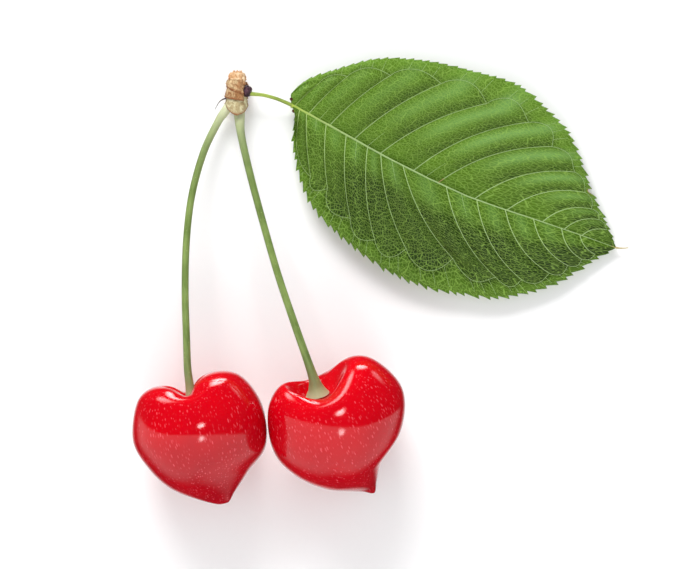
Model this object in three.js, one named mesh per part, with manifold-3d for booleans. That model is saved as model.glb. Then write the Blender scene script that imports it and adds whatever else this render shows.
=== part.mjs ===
// A pair of sweet cherries on their stalks, joined at a fruiting spur that still carries one leaf.
// Millimetres, +Z up. The picked bunch lies on a table at z = 0: the cherries lie on their sides
// towards -Y, the stalks run up to the spur at +Y, and the leaf spreads out towards +X.

import * as THREE from 'three';
import { mergeVertices } from 'three/addons/utils/BufferGeometryUtils.js';
import Module from 'manifold-3d';

const wasm = await Module();
wasm.setup();

// ---------------------------------------------------------------- driving dimensions

const TABLE_FLAT = 0.15; // how far a ripe cherry's skin presses flat where it rests
const FRUIT_SIDES = 28; // facets round a cherry
const FRUIT_STEPS = 22; // facets from its stalk cavity to its tip

// Each cherry has three outlines, [distance from its axis, distance down it from the notch], that
// share their stations: cavity floor, cavity wall, rim, shoulder, widest, flank, lower, nose, tip.
// Right and left are the two cheeks as seen from above, and front is both its top and underside.
// notch is where the stalk goes in, in plan. lean turns the tip towards +X from straight down the
// plan, tipDown dips the tip towards the table, and cleft is 1 for a round rim and less for a V.
const CHERRIES = {
  cherry_left: {
    notch: [-36.7, -22.2],
    lean: 16,
    tipDown: 3,
    cleft: 0.18,
    right: [[0, 1.7], [2.3, 0.0], [4.6, -3.2], [10.2, -1.5], [13.0, 5.2], [11.6, 13.0], [7.0, 16.9],
      [3.4, 20.0], [1.3, 21.7]],
    left: [[0, 1.7], [2.3, -0.2], [5.0, -3.4], [9.6, -2.0], [12.7, 5.0], [11.4, 11.0], [8.0, 16.4],
      [1.8, 20.8], [-1.3, 21.7]],
    front: [[0, 1.7], [2.2, 1.0], [4.6, -0.4], [8.8, 0.2], [11.3, 5.8], [10.4, 11.8], [7.2, 16.2],
      [2.4, 20.2], [0, 21.7]],
  },
  cherry_right: {
    notch: [-11.85, -22.6],
    lean: 24,
    tipDown: 20,
    cleft: 0.6,
    right: [[0, 0.7], [3.5, -0.6], [8.3, -4.4], [12.7, -2.4], [15.4, 4.8], [12.5, 11.5], [7.1, 15.2],
      [4.1, 19.2], [2.2, 22.3]],
    left: [[0, 0.7], [3.3, -0.9], [5.2, -5.2], [9.6, -2.2], [12.1, 5.4], [10.6, 11.3], [6.2, 16.9],
      [-0.2, 21.0], [-2.2, 22.3]],
    front: [[0, 0.7], [3.3, -0.2], [5.8, -1.6], [9.3, -0.4], [11.4, 5.6], [10.2, 11.8], [6.6, 16.5],
      [2.0, 20.5], [0, 22.3]],
  },
};

// Stalk routes from the spur to the cavity floor: [x, y, z, radius].
const STALK_SIDES = 10;
const STALK_STEPS = 28;
const STALKS = {
  stalk_left: [
    [-29.2, 33.6, 2.4, 0.92], [-30.3, 32.1, 2.55, 0.86], [-31.4, 30.4, 2.9, 0.74],
    [-34.1, 24.6, 4.2, 0.7], [-36.3, 16.4, 6.1, 0.68], [-37.3, 7.6, 8.2, 0.68],
    [-37.5, -2.2, 10.4, 0.68], [-37.2, -11.6, 11.7, 0.7], [-37.0, -16.8, 12.0, 0.74],
    [-36.6, -20.2, 11.8, 0.84], [-36.4, -22.4, 11.6, 1.0],
  ],
  stalk_right: [
    [-27.3, 33.6, 2.5, 1.22], [-27.2, 31.6, 2.75, 1.05], [-26.8, 27.7, 3.7, 0.76],
    [-25.0, 20.0, 6.6, 0.7], [-22.5, 10.8, 10.6, 0.69], [-19.7, 1.2, 14.0, 0.69],
    [-16.6, -8.0, 16.0, 0.72], [-14.2, -14.8, 16.0, 0.78], [-12.9, -18.6, 15.1, 0.98],
    [-12.4, -20.5, 14.3, 1.5], [-12.1, -21.8, 13.8, 2.3],
  ],
};

// The spur is a woody stub. Its frame has +Y from the stalks to the torn end and +Z up.
const SPUR_PLACE = [-27.8, 32.9, 2.4];
const SPUR_TURN = -2.0;
const SPUR_SIDES = 14;
const SPUR_WOOD = [[0, 0.5], [1.4, 0.5], [1.72, 1.3], [1.74, 3.4], [1.7, 4.6], [1.34, 5.6],
  [1.2, 6.6], [0.9, 7.1], [0, 7.2]];

// Bud scales overlap like stacked cups, fixed at root, with its radius, and free at tip. facing is
// the way a scale's middle looks, in degrees from straight up towards +X, and reach is how far it
// wraps each way. notch is how much shorter its sides are than its middle, and slant is how much
// longer it is on the side that facing turns towards.
const SCALE_THICK = 0.2;
const SCALE_FLARE = 0.34;
const SCALE_GRID = [12, 4];
const BUD_SCALES = {
  bud_scale_1: { facing: 0, reach: 84, radius: 1.8, root: 2.4, tip: -1.2, notch: 1.7, slant: 0.5 },
  bud_scale_2: { facing: 180, reach: 82, radius: 1.8, root: 2.3, tip: 0, notch: 0.9, slant: 0 },
  bud_scale_3: { facing: -34, reach: 70, radius: 1.8, root: 4, tip: 1.9, notch: 0.2, slant: 0.1 },
  bud_scale_4: { facing: 176, reach: 74, radius: 1.8, root: 3.9, tip: 1.9, notch: 0.4, slant: 0 },
  bud_scale_5: { facing: -34, reach: 70, radius: 1.8, root: 5.5, tip: 3.7, notch: 0.2, slant: 0.4 },
  bud_scale_6: { facing: 176, reach: 74, radius: 1.8, root: 5.4, tip: 3.8, notch: 0.5, slant: 0 },
  bud_scale_7: { facing: 0, reach: 84, radius: 1.46, root: 7.1, tip: 5.7, notch: 0.1, slant: 0.4 },
  bud_scale_8: { facing: 180, reach: 84, radius: 1.46, root: 7, tip: 5.8, notch: 0.3, slant: 0 },
};

// The dark side bud that the leaf's stalk grows from, as an egg: centre and half sizes.
const SIDE_BUD = { centre: [1.95, 3.65, 0.75], half: [0.95, 1.15, 0.85] };
const SEAT_GAP = 0.25; // clearance between the bud and the wood it sits in

// A withered bract, thin as a hair, hangs off the spur's left side: [x, y, z, radius].
const BRACT_THREAD = [[-29.8, 35.05, 3.15, 0.18], [-30.5, 34.8, 3.4, 0.15],
  [-31.1, 34.3, 3.5, 0.12], [-31.55, 33.6, 3.4, 0.1], [-31.9, 32.9, 3.1, 0.08]];

// The leaf's frame has its origin at the base of the blade, +X along the blade to the tip.
const LEAF_BASE = [-17.2, 33.8];
const LEAF_HEADING = -23.8;
const LEAF_ROWS = 66; // two rows to each marginal tooth
const LEAF_COLUMNS = 5; // from the midrib to either margin
const BLADE_THICK = 0.4;
const TOOTH = 0.35; // half of how far a marginal tooth stands out
const MIDRIB = [[0, 0], [0.9, -0.1], [1.6, -0.1], [4.1, -0.3], [10.9, -0.9], [20.5, -1.8],
  [30.1, -2.3], [38.3, -2.4], [45.1, -1.9], [52.0, -1.2], [60.2, -0.5], [65.7, -0.1], [68.2, 0.1],
  [70.5, 1.0]];
const UPPER_MARGIN = [[0, 0.45], [-0.3, 3.8], [1.2, 6.2], [4.4, 9.1], [11.5, 14.8], [20.5, 18.3],
  [30.1, 20.2], [38.3, 21.1], [45.1, 19.2], [52.0, 16.0], [59.6, 8.3], [65.2, 3.3], [68.2, 0.6],
  [70.7, 1.2]];
const LOWER_MARGIN = [[0, -0.4], [1.5, -0.6], [1.8, -3.1], [4.2, -8.2], [10.9, -15.8], [20.5, -19.8],
  [30.1, -21.8], [38.3, -21.6], [45.1, -20.0], [52.0, -17.6], [60.0, -11.5], [65.6, -3.6],
  [68.4, -0.6], [70.7, 0.8]];
// Heights along the blade at the same stations: the midrib's, then how far each half swells.
const MIDRIB_HEIGHT = [2.1, 2.0, 1.9, 1.6, 1.0, 0.5, 0.3, 0.3, 0.35, 0.5, 0.9, 1.2, 1.3, 1.4];
const SWELL = [0, 0.3, 0.7, 1.4, 2.8, 3.6, 3.8, 3.7, 3.4, 2.8, 1.6, 0.6, 0.1, 0];

// The leaf's stalk, from the side bud to the blade, and the two nectar glands at its end.
const LEAF_STALK = [[-25.4, 35.95, 3.2, 0.44], [-24.4, 35.87, 3.4, 0.38],
  [-22.46, 35.65, 3.55, 0.35], [-19.97, 34.96, 3.25, 0.34], [-18.1, 34.2, 2.6, 0.35],
  [-17.2, 33.8, 2.2, 0.36]];
const LEAF_STALK_STEPS = 10;
const GLANDS = {
  gland_upper: { centre: [-17.2, 34.93, 2.35], radius: 0.32 },
  gland_lower: { centre: [-16.72, 32.66, 2.0], radius: 0.36 },
};

// ---------------------------------------------------------------- materials

function finish(color, roughness) {
  return new THREE.MeshStandardMaterial({ color, roughness, metalness: 0 });
}

const RED_SKIN = finish('#cf0715', 0.12);
const STALK_GREEN = finish('#93a765', 0.5);
const SPUR_BROWN = finish('#a8805a', 0.85);
const SCALE_TAN = finish('#b89a70', 0.8);
const BUD_PURPLE = finish('#5a4440', 0.7);
const LEAF_GREEN = finish('#5f8a3a', 0.45);
const LEAF_STALK_GREEN = finish('#a9bf55', 0.45);
const GLAND_RED = finish('#5c1f1c', 0.3);

// ---------------------------------------------------------------- solids from points

// A closed solid from points and triangles, with every face turned outwards.
function solidOf(points, triangles) {
  let volume = 0;
  for (const [a, b, c] of triangles) {
    volume += points[a].dot(new THREE.Vector3().crossVectors(points[b], points[c]));
  }
  const outward = volume > 0 ? triangles : triangles.map(([a, b, c]) => [a, c, b]);
  const geometry = new THREE.BufferGeometry().setFromPoints(points);
  geometry.setIndex(outward.flat());
  geometry.computeVertexNormals();
  return geometry;
}

// Rings of points skinned in order and closed by a single point at either end.
function loft(start, rings, end) {
  const sides = rings[0].length;
  const points = [start, ...rings.flat(), end];
  const at = (ring, side) => 1 + ring * sides + (side % sides);
  const triangles = [];
  for (let side = 0; side < sides; side += 1) {
    triangles.push([0, at(0, side + 1), at(0, side)]);
    for (let ring = 0; ring < rings.length - 1; ring += 1) {
      triangles.push([at(ring, side), at(ring, side + 1), at(ring + 1, side)]);
      triangles.push([at(ring, side + 1), at(ring + 1, side + 1), at(ring + 1, side)]);
    }
    triangles.push([points.length - 1, at(rings.length - 1, side), at(rings.length - 1, side + 1)]);
  }
  return solidOf(points, triangles);
}

// Two grids of points, one over the other, closed all round their edge.
function slab(over, under) {
  const rows = over.length;
  const columns = over[0].length;
  const points = [...over.flat(), ...under.flat()];
  const top = (row, column) => row * columns + column;
  const low = (row, column) => rows * columns + top(row, column);
  const triangles = [];
  const quad = (a, b, c, d) => triangles.push([a, b, c], [a, c, d]);
  for (let row = 0; row < rows - 1; row += 1) {
    for (let column = 0; column < columns - 1; column += 1) {
      quad(top(row, column), top(row + 1, column), top(row + 1, column + 1), top(row, column + 1));
      quad(low(row, column), low(row, column + 1), low(row + 1, column + 1), low(row + 1, column));
    }
    const last = columns - 1;
    quad(top(row, 0), low(row, 0), low(row + 1, 0), top(row + 1, 0));
    quad(top(row, last), top(row + 1, last), low(row + 1, last), low(row, last));
  }
  for (let column = 0; column < columns - 1; column += 1) {
    const last = rows - 1;
    quad(top(0, column), top(0, column + 1), low(0, column + 1), low(0, column));
    quad(top(last, column), low(last, column), low(last, column + 1), top(last, column + 1));
  }
  return solidOf(points, triangles);
}

// A round bar along a route of [x, y, z, radius] points.
function bar(route, steps) {
  const path = new THREE.CatmullRomCurve3(route.map(([x, y, z]) => new THREE.Vector3(x, y, z)));
  const thickness = new THREE.SplineCurve(route.map((point, i) => new THREE.Vector2(i, point[3])));
  const frames = path.computeFrenetFrames(steps, false);
  const rings = [];
  for (let step = 0; step <= steps; step += 1) {
    const centre = path.getPointAt(step / steps);
    const radius = thickness.getPoint(path.getUtoTmapping(step / steps)).y;
    const ring = [];
    for (let side = 0; side < STALK_SIDES; side += 1) {
      const turn = (side / STALK_SIDES) * 2 * Math.PI;
      const offset = frames.normals[step].clone().multiplyScalar(radius * Math.cos(turn));
      offset.addScaledVector(frames.binormals[step], radius * Math.sin(turn));
      ring.push(centre.clone().add(offset));
    }
    rings.push(ring);
  }
  return loft(path.getPointAt(0), rings, path.getPointAt(1));
}

// ---------------------------------------------------------------- cutting

function toManifold(geometry) {
  const bare = geometry.clone();
  bare.deleteAttribute('normal');
  bare.deleteAttribute('uv');
  const merged = mergeVertices(bare, 1e-4);
  return new wasm.Manifold(new wasm.Mesh({
    numProp: 3,
    vertProperties: new Float32Array(merged.attributes.position.array),
    triVerts: new Uint32Array(merged.index.array),
  }));
}

function subtract(geometry, cutter) {
  const mesh = toManifold(geometry).subtract(toManifold(cutter)).getMesh();
  const result = new THREE.BufferGeometry();
  result.setAttribute('position', new THREE.Float32BufferAttribute(mesh.vertProperties, 3));
  result.setIndex(new THREE.Uint32BufferAttribute(mesh.triVerts, 1));
  result.computeVertexNormals();
  return result;
}

// A geometry with the finished solids that it grows from cut away, so that they only touch.
function trimmed(geometry, ...names) {
  return names.reduce((left, name) => {
    const parent = bunch.getObjectByName(name);
    parent.updateWorldMatrix(true, false);
    return subtract(left, parent.geometry.clone().applyMatrix4(parent.matrixWorld));
  }, geometry);
}

// ---------------------------------------------------------------- cherries

// A smooth outline through the stations, square to the axis where it meets it at both ends.
function outline(stations) {
  const middle = stations.at(-1)[0];
  const mirrored = (point, about) => new THREE.Vector2(2 * about - point[0], point[1]);
  const points = [mirrored(stations[1], 0), ...stations.map(([r, h]) => new THREE.Vector2(r, h)),
    mirrored(stations.at(-2), middle)];
  const curve = new THREE.SplineCurve(points);
  return (t) => curve.getPoint((1 + t * (stations.length - 1)) / (points.length - 1));
}

// The skin point at share t of the way to the tip, at angle turn round the axis from the +X cheek.
function cherrySkin(cherry, t, turn) {
  const right = cherry.right(t);
  const left = cherry.left(t);
  const front = cherry.front(t);
  const across = Math.cos(turn) ** 2;
  const body = Math.min(1, Math.max(0, (t - 0.3) / 0.25));
  const round = cherry.cleft + (1 - cherry.cleft) * body;
  const cheek = across / (across + round * (1 - across));
  const bias = Math.cos(turn) / 2 + 0.5;
  const centre = (right.x - left.x) / 2;
  const x = centre + ((right.x + left.x) / 2) * Math.cos(turn);
  const z = front.x * Math.sin(turn);
  const down = cheek * (bias * right.y + (1 - bias) * left.y) + (1 - cheek) * front.y;
  return new THREE.Vector3(x, -down, z);
}

function cherryGeometry(spec) {
  const cherry = {
    cleft: spec.cleft,
    right: outline(spec.right),
    left: outline(spec.left),
    front: outline(spec.front),
  };
  const rings = [];
  for (let step = 1; step < FRUIT_STEPS; step += 1) {
    const ring = [];
    for (let side = 0; side < FRUIT_SIDES; side += 1) {
      ring.push(cherrySkin(cherry, step / FRUIT_STEPS, (side / FRUIT_SIDES) * 2 * Math.PI));
    }
    rings.push(ring);
  }
  return loft(cherrySkin(cherry, 0, 0), rings, cherrySkin(cherry, 1, 0));
}

// Turns a cherry as it lies, lowers it to the table and presses its underside flat.
function cherryMesh(name, spec) {
  const turned = new THREE.Matrix4().makeRotationFromEuler(new THREE.Euler(
    THREE.MathUtils.degToRad(spec.tipDown), 0, THREE.MathUtils.degToRad(spec.lean), 'ZYX'));
  const geometry = cherryGeometry(spec).applyMatrix4(turned);
  geometry.computeBoundingBox();
  const lift = -geometry.boundingBox.min.z - TABLE_FLAT;
  const table = new THREE.BoxGeometry(60, 60, 10).translate(0, 0, -lift - 5);
  const mesh = new THREE.Mesh(subtract(geometry, table), RED_SKIN);
  mesh.name = name;
  mesh.position.set(...spec.notch, lift);
  return mesh;
}

// ---------------------------------------------------------------- spur

function place(name, geometry, material) {
  const mesh = new THREE.Mesh(geometry, material);
  mesh.name = name;
  return mesh;
}

function egg({ centre, half }, extra) {
  const geometry = new THREE.SphereGeometry(1, 12, 8);
  geometry.scale(half[0] + extra, half[1] + extra, half[2] + extra);
  return geometry.translate(...centre);
}

// One bud scale: a slice of a flaring cup, its free edge drawn to a blunt point.
function scaleGeometry({ facing, reach, radius, root, tip, notch, slant }) {
  const [around, along] = SCALE_GRID;
  const grid = (proud) => {
    const rows = [];
    for (let i = 0; i <= along; i += 1) {
      const row = [];
      for (let j = 0; j <= around; j += 1) {
        const side = (2 * j) / around - 1;
        const angle = THREE.MathUtils.degToRad(facing + reach * side);
        const free = tip + notch * Math.abs(side) ** 1.5 - slant * side;
        const out = radius + proud + (SCALE_FLARE * i) / along;
        const s = root + ((free - root) * i) / along;
        row.push(new THREE.Vector3(out * Math.sin(angle), s, out * Math.cos(angle)));
      }
      rows.push(row);
    }
    return rows;
  };
  return slab(grid(SCALE_THICK), grid(0));
}

function spurGroup() {
  const group = new THREE.Group();
  group.position.set(...SPUR_PLACE);
  group.rotation.z = THREE.MathUtils.degToRad(SPUR_TURN);
  const profile = SPUR_WOOD.map(([r, s]) => new THREE.Vector2(r, s));
  const wood = new THREE.LatheGeometry(profile, SPUR_SIDES);
  group.add(place('spur', subtract(wood, egg(SIDE_BUD, SEAT_GAP)), SPUR_BROWN));
  group.add(place('side_bud', egg(SIDE_BUD, 0), BUD_PURPLE));
  for (const [name, spec] of Object.entries(BUD_SCALES)) {
    group.add(place(name, scaleGeometry(spec), SCALE_TAN));
  }
  return group;
}

// ---------------------------------------------------------------- leaf

function curveThrough(points) {
  return new THREE.SplineCurve(points.map(([x, y]) => new THREE.Vector2(x, y)));
}

function heightsAlong(values) {
  return curveThrough(values.map((value, i) => [i, value]));
}

// How far each half stands up at a share of the way out, as a share of its swell. The upper half
// swells smoothly; the lower one has a crest close to the midrib, a trough and a flared margin.
function upperRise(out) {
  return Math.sin(out * Math.PI * 0.5) - 0.35 * out ** 3;
}

function lowerRise(out) {
  const { smoothstep } = THREE.MathUtils;
  return 0.8 * (1 - Math.exp(-out / 0.12)) - 0.3 * smoothstep(out, 0.2, 0.75)
    + 0.35 * smoothstep(out, 0.72, 1);
}

// Rows run from margin to margin across the midrib, and every second row ends in a tooth that
// points forward.
function bladeGeometry() {
  const midrib = curveThrough(MIDRIB);
  const margins = { upper: curveThrough(UPPER_MARGIN), lower: curveThrough(LOWER_MARGIN) };
  const midribHeight = heightsAlong(MIDRIB_HEIGHT);
  const swell = heightsAlong(SWELL);
  const over = [];
  const under = [];
  for (let row = 0; row <= LEAF_ROWS; row += 1) {
    const t = margins.upper.getUtoTmapping(row / LEAF_ROWS);
    const rib = midrib.getPoint(t);
    const along = midrib.getTangent(t);
    const inside = row > 1 && row < LEAF_ROWS - 3;
    const tooth = inside ? (row % 2 ? TOOTH : -TOOTH) : 0;
    const overRow = [];
    const underRow = [];
    for (let column = -LEAF_COLUMNS; column <= LEAF_COLUMNS; column += 1) {
      const out = Math.abs(column) / LEAF_COLUMNS;
      const margin = (column < 0 ? margins.lower : margins.upper).getPoint(t);
      const away = margin.clone().sub(rib);
      const atEdge = out === 1 ? tooth : 0;
      const point = rib.clone().addScaledVector(away, out);
      point.addScaledVector(away.normalize(), atEdge).addScaledVector(along, Math.max(0, atEdge));
      const bulge = column < 0 ? lowerRise(out) : upperRise(out);
      const z = midribHeight.getPoint(t).y + swell.getPoint(t).y * bulge;
      overRow.push(new THREE.Vector3(point.x, point.y, z + BLADE_THICK / 2));
      underRow.push(new THREE.Vector3(point.x, point.y, z - BLADE_THICK / 2));
    }
    over.push(overRow);
    under.push(underRow);
  }
  return slab(over, under);
}

function bladeMesh() {
  const blade = place('leaf_blade', bladeGeometry(), LEAF_GREEN);
  blade.position.set(...LEAF_BASE, 0);
  blade.rotation.z = THREE.MathUtils.degToRad(LEAF_HEADING);
  return blade;
}

// ---------------------------------------------------------------- the bunch

const bunch = new THREE.Group();
for (const [name, spec] of Object.entries(CHERRIES)) {
  bunch.add(cherryMesh(name, spec));
}
bunch.add(spurGroup());
for (const [name, route] of Object.entries(STALKS)) {
  const stalk = trimmed(bar(route, STALK_STEPS), 'spur', 'bud_scale_1', 'bud_scale_2');
  bunch.add(place(name, stalk, STALK_GREEN));
}
bunch.add(place('bract_thread', trimmed(bar(BRACT_THREAD, 6), 'bud_scale_3'), BUD_PURPLE));
bunch.add(bladeMesh());
const leafStalk = trimmed(bar(LEAF_STALK, LEAF_STALK_STEPS), 'side_bud', 'leaf_blade');
bunch.add(place('leaf_stalk', leafStalk, LEAF_STALK_GREEN));
for (const [name, { centre, radius }] of Object.entries(GLANDS)) {
  const bead = new THREE.IcosahedronGeometry(radius, 1).translate(...centre);
  bunch.add(place(name, trimmed(bead, 'leaf_blade', 'leaf_stalk'), GLAND_RED));
}

export default bunch;
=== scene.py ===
import math

import bmesh
import bpy
import numpy as np
from mathutils import Euler, Matrix, Vector, noise


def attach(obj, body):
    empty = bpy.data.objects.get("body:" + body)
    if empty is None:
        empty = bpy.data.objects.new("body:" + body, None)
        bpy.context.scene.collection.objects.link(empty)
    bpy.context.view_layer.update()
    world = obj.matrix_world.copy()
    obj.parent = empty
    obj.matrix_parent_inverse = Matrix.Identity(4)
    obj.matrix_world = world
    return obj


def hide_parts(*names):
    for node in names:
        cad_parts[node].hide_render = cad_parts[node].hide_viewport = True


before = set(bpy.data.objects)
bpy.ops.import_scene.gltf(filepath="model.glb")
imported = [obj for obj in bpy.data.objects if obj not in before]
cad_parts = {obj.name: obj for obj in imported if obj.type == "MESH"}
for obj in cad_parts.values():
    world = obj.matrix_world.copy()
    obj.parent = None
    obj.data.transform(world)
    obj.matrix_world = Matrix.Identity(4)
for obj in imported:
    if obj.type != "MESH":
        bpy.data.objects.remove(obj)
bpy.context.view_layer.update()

# Two red cherries on green stalks, joined at a woody spur that also carries one leaf. The bunch
# lies on a table: +X runs from the left cherry to the right one, +Y from the cherries up to the
# spur. Lengths are in millimetres, and MM turns them into the metres of the finished meshes.
MM = 0.001
SEED = 7  # of the first bud scale's crinkles

# ---------------------------------------------------------------- sizes shared with the CAD

TABLE_FLAT = 0.15  # how far a cherry is pressed flat where it rests
CHERRIES = {
    "cherry_left": dict(
        notch=(-36.7, -22.2), lean=16, tip_down=3, cleft=0.18,
        right=[(0, 1.7), (2.3, 0.0), (4.6, -3.2), (10.2, -1.5), (13.0, 5.2), (11.6, 13.0),
               (7.0, 16.9), (3.4, 20.0), (1.3, 21.7)],
        left=[(0, 1.7), (2.3, -0.2), (5.0, -3.4), (9.6, -2.0), (12.7, 5.0), (11.4, 11.0),
              (8.0, 16.4), (1.8, 20.8), (-1.3, 21.7)],
        front=[(0, 1.7), (2.2, 1.0), (4.6, -0.4), (8.8, 0.2), (11.3, 5.8), (10.4, 11.8),
               (7.2, 16.2), (2.4, 20.2), (0, 21.7)]),
    "cherry_right": dict(
        notch=(-11.85, -22.6), lean=24, tip_down=20, cleft=0.6,
        right=[(0, 0.7), (3.5, -0.6), (8.3, -4.4), (12.7, -2.4), (15.4, 4.8), (12.5, 11.5),
               (7.1, 15.2), (4.1, 19.2), (2.2, 22.3)],
        left=[(0, 0.7), (3.3, -0.9), (5.2, -5.2), (9.6, -2.2), (12.1, 5.4), (10.6, 11.3),
              (6.2, 16.9), (-0.2, 21.0), (-2.2, 22.3)],
        front=[(0, 0.7), (3.3, -0.2), (5.8, -1.6), (9.3, -0.4), (11.4, 5.6), (10.2, 11.8),
               (6.6, 16.5), (2.0, 20.5), (0, 22.3)]),
}
# Routes of round stems as (x, y, z, radius).
STALK_LEFT = [(-29.2, 33.6, 2.4, 0.92), (-30.3, 32.1, 2.55, 0.86), (-31.4, 30.4, 2.9, 0.74),
              (-34.1, 24.6, 4.2, 0.7), (-36.3, 16.4, 6.1, 0.68), (-37.3, 7.6, 8.2, 0.68),
              (-37.5, -2.2, 10.4, 0.68), (-37.2, -11.6, 11.7, 0.7), (-37.0, -16.8, 12.0, 0.74),
              (-36.6, -20.2, 11.8, 0.84), (-36.4, -22.4, 11.6, 1.0)]
STALK_RIGHT = [(-27.3, 33.6, 2.5, 1.22), (-27.2, 31.6, 2.75, 1.05), (-26.8, 27.7, 3.7, 0.76),
               (-25.0, 20.0, 6.6, 0.7), (-22.5, 10.8, 10.6, 0.69), (-19.7, 1.2, 14.0, 0.69),
               (-16.6, -8.0, 16.0, 0.72), (-14.2, -14.8, 16.0, 0.78), (-12.9, -18.6, 15.1, 0.98),
               (-12.4, -20.5, 14.3, 1.5), (-12.1, -21.8, 13.8, 2.3)]
LEAF_STALK = [(-25.4, 35.95, 3.2, 0.44), (-24.4, 35.87, 3.4, 0.38), (-22.46, 35.65, 3.55, 0.35),
              (-19.97, 34.96, 3.25, 0.34), (-18.1, 34.2, 2.6, 0.35), (-17.2, 33.8, 2.2, 0.36)]
BRACT_THREAD = [(-29.8, 35.05, 3.15, 0.15), (-30.5, 34.8, 3.4, 0.11), (-31.1, 34.3, 3.5, 0.08),
                (-31.55, 33.6, 3.4, 0.06), (-31.9, 32.9, 3.1, 0.04)]
# The spur's own frame: +Y from the stalks to the torn end, +Z up.
SPUR_PLACE = Matrix.Translation((-27.8, 32.9, 2.4)) @ Matrix.Rotation(math.radians(-2), 4, "Z")
SPUR_WOOD = [(0, 0.5), (1.4, 0.5), (1.72, 1.3), (1.74, 3.4), (1.7, 4.6), (1.34, 5.6), (1.2, 6.6),
             (0.9, 7.1), (0, 7.2)]
SCALE_THICK = 0.2
# facing and reach in degrees round the spur, then radius and flare, root, tip, notch and slant
BUD_SCALES = {
    "bud_scale_1": (0, 84, 1.8, 0.2, 2.5, -1.15, 2.1, 0.3),
    "bud_scale_2": (180, 82, 1.8, 0.34, 2.3, 0.0, 0.9, 0.0),
    "bud_scale_3": (-34, 70, 1.76, 0.4, 4.2, 2.0, 0.1, 0.4),
    "bud_scale_4": (176, 74, 1.76, 0.38, 3.9, 1.9, 0.4, 0.0),
    "bud_scale_5": (-34, 72, 1.6, 0.4, 5.8, 3.7, 0.5, 1.2),
    "bud_scale_6": (176, 74, 1.72, 0.42, 5.4, 3.8, 0.5, 0.0),
    "bud_scale_7": (-12, 80, 1.2, 0.42, 7.1, 5.1, 0.6, 0.9),
    "bud_scale_8": (180, 84, 1.2, 0.42, 7.0, 5.5, 0.3, 0.0),
}
SIDE_BUD_CENTRE = (1.95, 3.65, 0.75)
SIDE_BUD_HALF = (0.95, 1.15, 0.85)
# The leaf's own frame: origin at the base of the blade, +X along the blade to its tip.
LEAF_PLACE = Matrix.Translation((-17.2, 33.8, 0)) @ Matrix.Rotation(math.radians(-23.8), 4, "Z")
MIDRIB = [(0, 0), (4.1, -0.3), (10.9, -0.9), (20.5, -1.8), (30.1, -2.3), (38.3, -2.4),
          (45.1, -1.9), (52.0, -1.2), (60.2, -0.5), (65.7, -0.1), (68.4, 0.1)]
UPPER_MARGIN = [(-0.3, 3.8), (1.2, 6.2), (4.4, 9.1), (11.5, 14.8), (20.5, 18.3), (30.1, 20.2),
                (38.3, 21.1), (45.1, 19.2), (52.0, 16.0), (59.6, 8.3), (65.2, 3.3), (68.4, 0.1)]
LOWER_MARGIN = [(1.3, -0.6), (1.9, -3.1), (4.2, -8.2), (10.9, -15.8), (20.5, -19.8), (30.1, -21.8),
                (38.3, -21.6), (45.1, -20.0), (52.0, -17.6), (60.0, -11.5), (65.6, -3.6),
                (68.4, 0.1)]
RIB_STATIONS = [0, 1.6, 4.1, 10.9, 20.5, 30.1, 38.3, 45.1, 52.0, 60.2, 65.7, 68.4]
RIB_HEIGHT = [2.1, 1.9, 1.6, 1.0, 0.5, 0.3, 0.3, 0.35, 0.5, 0.9, 1.2, 1.35]
SWELL = [0.2, 0.7, 1.4, 2.8, 3.6, 3.8, 3.7, 3.4, 2.8, 1.6, 0.6, 0.1]
# Side veins: where each leaves the midrib, and where it bends over into the arch to the next one.
UPPER_VEINS = [(0.6, 3.3, 6.2), (3.7, 7.7, 9.4), (8.3, 15.2, 12.9), (13.7, 24.8, 15.4),
               (19.4, 34.3, 15.4), (26.6, 43.2, 15.4), (31.9, 49.2, 12.9), (39.6, 55.2, 10.2),
               (46.2, 58.6, 7.4), (53.4, 61.0, 5.0), (57.8, 63.2, 3.7), (61.4, 65.3, 2.5)]
LOWER_VEINS = [(1.8, 4.0, -6.6), (3.3, 9.0, -11.2), (7.6, 12.9, -11.9), (12.0, 19.2, -15.4),
               (16.7, 25.2, -17.3), (19.6, 31.4, -16.4), (24.4, 40.4, -14.5), (33.7, 49.5, -14.5),
               (40.1, 54.2, -12.9), (45.9, 58.6, -9.6), (51.6, 61.2, -6.8), (57.3, 63.2, -4.6),
               (61.0, 65.2, -2.7)]
TEAR = (59.7, 7.9)  # a small old tear in the upper margin
NODE_VEIN = 7  # the upper side vein with a reddish joint
DRIP_TIP = [(67.4, 0.0, 1.25), (68.4, 0.1, 1.35), (69.5, 0.5, 1.4), (70.6, 1.05, 1.4)]
GLANDS = {"gland_upper": ((-17.2, 34.93, 2.35), 0.32),
          "gland_lower": ((-16.72, 32.66, 2.0), 0.36)}


# ---------------------------------------------------------------- small tools

MATH, VECTOR_MATH = "ShaderNodeMath", "ShaderNodeVectorMath"
SPLIT, COMBINE = "ShaderNodeSeparateXYZ", "ShaderNodeCombineXYZ"
MIX, RANGE = "ShaderNodeMix", "ShaderNodeMapRange"
NOISE, CELLS = "ShaderNodeTexNoise", "ShaderNodeTexVoronoi"
PLACE, PAINTED, BUMP = "ShaderNodeTexCoord", "ShaderNodeAttribute", "ShaderNodeBump"
CARRIED, STORE = "GeometryNodeInputNamedAttribute", "GeometryNodeStoreNamedAttribute"
MOVE, WELD = "GeometryNodeSetPosition", "GeometryNodeMergeByDistance"


def linear(code):
    """A linear colour from an sRGB hex code."""
    shares = [int(code[i:i + 2], 16) / 255 for i in (1, 3, 5)]
    return [s / 12.92 if s <= 0.04045 else ((s + 0.055) / 1.055) ** 2.4 for s in shares] + [1.0]


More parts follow.
